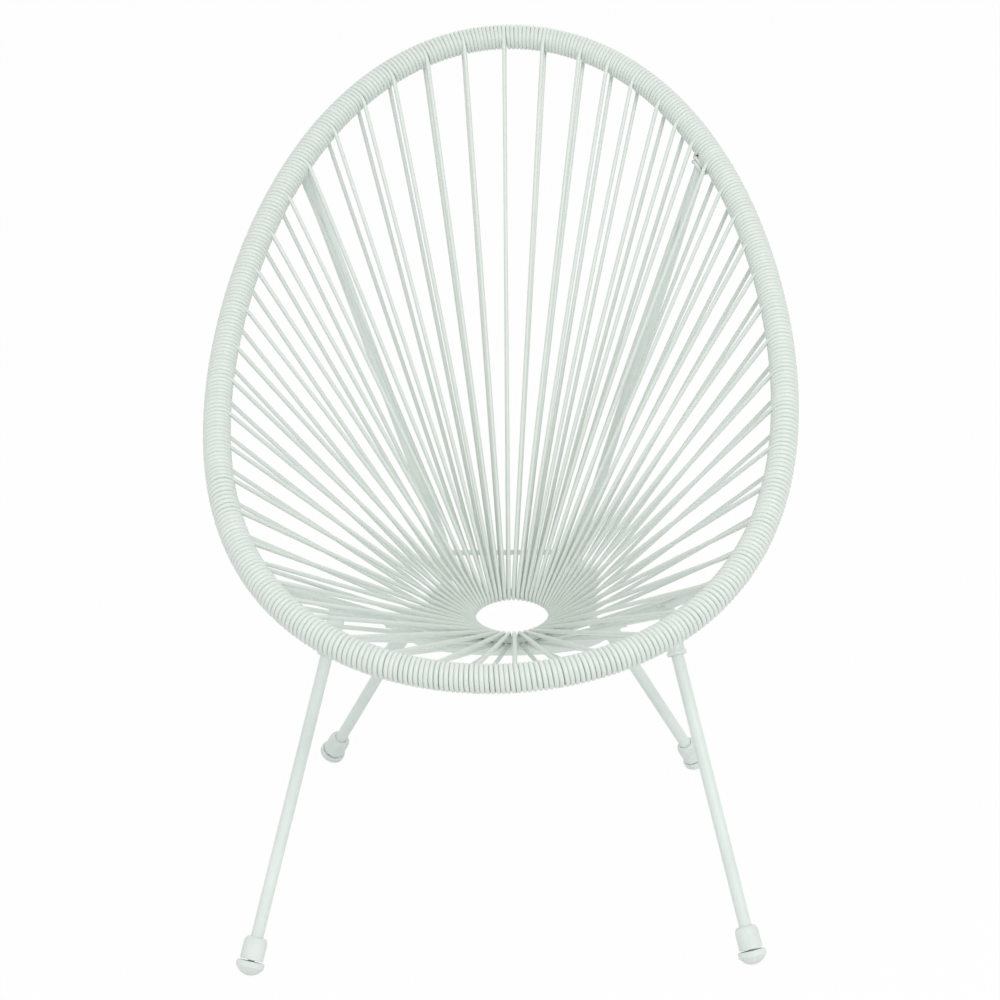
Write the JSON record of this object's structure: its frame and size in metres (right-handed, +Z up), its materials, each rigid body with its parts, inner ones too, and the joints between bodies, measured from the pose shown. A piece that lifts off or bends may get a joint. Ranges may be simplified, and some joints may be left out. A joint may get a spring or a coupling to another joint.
{
  "type": "lounge chair",
  "caption": "Egg-shaped lounge chair: a cord-wound steel hoop with a seat strung from the hoop over a small centre ring, on four splayed tube legs with plastic feet.",
  "frame": {"origin": "on the floor under the middle of the chair's outer box", "axes": "+Z up, the sitter faces -Y, +X to the viewer's right when the chair is seen from the front"},
  "size_m": [0.7168, 0.9473, 0.9286],
  "materials": {
    "frame_paint": "satin powder coat, pale mint",
    "cord_plastic": "smooth round plastic cord, pale mint, soft gloss",
    "foot_plastic": "moulded plastic, pale mint, fine matte"
  },
  "bodies": {
    "root": {"rim_hoop": "frame_paint", "side_tube_right": "frame_paint", "side_tube_left": "frame_paint", "front_bow": "frame_paint", "rear_crossbar": "frame_paint", "centre_ring": "frame_paint", "leg_socket_front_right": "frame_paint", "leg_front_right": "frame_paint", "foot_sleeve_front_right": "foot_plastic", "foot_glide_front_right": "foot_plastic", "leg_socket_rear_right": "frame_paint", "leg_rear_right": "frame_paint", "foot_sleeve_rear_right": "foot_plastic", "foot_glide_rear_right": "foot_plastic", "leg_socket_front_left": "frame_paint", "leg_front_left": "frame_paint", "foot_sleeve_front_left": "foot_plastic", "foot_glide_front_left": "foot_plastic", "leg_socket_rear_left": "frame_paint", "leg_rear_left": "frame_paint", "foot_sleeve_rear_left": "foot_plastic", "foot_glide_rear_left": "foot_plastic", "cord_length_01": "cord_plastic", "cord_length_02": "cord_plastic", "cord_length_03": "cord_plastic", "cord_length_04": "cord_plastic", "cord_length_05": "cord_plastic", "cord_length_06": "cord_plastic", "cord_length_07": "cord_plastic", "cord_length_08": "cord_plastic", "cord_length_09": "cord_plastic", "cord_length_10": "cord_plastic", "cord_length_11": "cord_plastic", "cord_length_12": "cord_plastic", "cord_length_13": "cord_plastic"}
  },
  "joints": []
}
